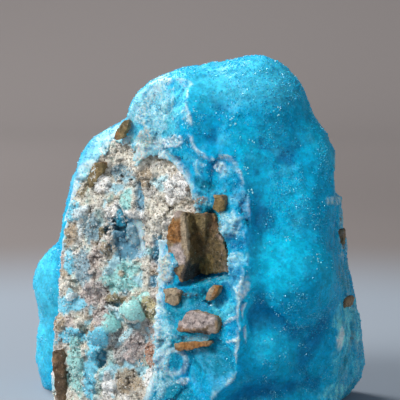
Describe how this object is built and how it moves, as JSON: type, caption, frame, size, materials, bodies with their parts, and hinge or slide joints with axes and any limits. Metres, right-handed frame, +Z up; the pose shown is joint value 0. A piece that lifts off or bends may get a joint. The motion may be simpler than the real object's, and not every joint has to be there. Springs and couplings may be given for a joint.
{
  "type": "hemimorphite specimen",
  "caption": "Hand specimen of botryoidal blue hemimorphite crust on brecciated rock with limonite fragments, broken open at the front left and standing on a flat cut base.",
  "frame": {"origin": "middle of the bounding box on the flat base", "axes": "+Z up, the way the specimen stands; -Y towards the broken front; +X to the right when seen from the front"},
  "size_m": [0.0685, 0.0526, 0.0709],
  "materials": {
    "crust": "vitreous, translucent azure crust with sugary sparkling patches",
    "rock": "rough broken rock, cream to grey, with pale blue cement",
    "limonite": "earthy brown limonite, dull and pitted"
  },
  "bodies": {
    "root": {"hemimorphite_crust": "crust", "rock_matrix": "rock", "limonite_block": "limonite", "limonite_knob": "limonite", "limonite_wedge": "limonite", "limonite_sliver": "limonite", "limonite_splinter": "limonite", "limonite_cube": "limonite", "limonite_blade": "limonite", "limonite_flake": "limonite", "limonite_slab": "limonite", "limonite_spall": "limonite", "limonite_nib": "limonite"}
  },
  "joints": []
}
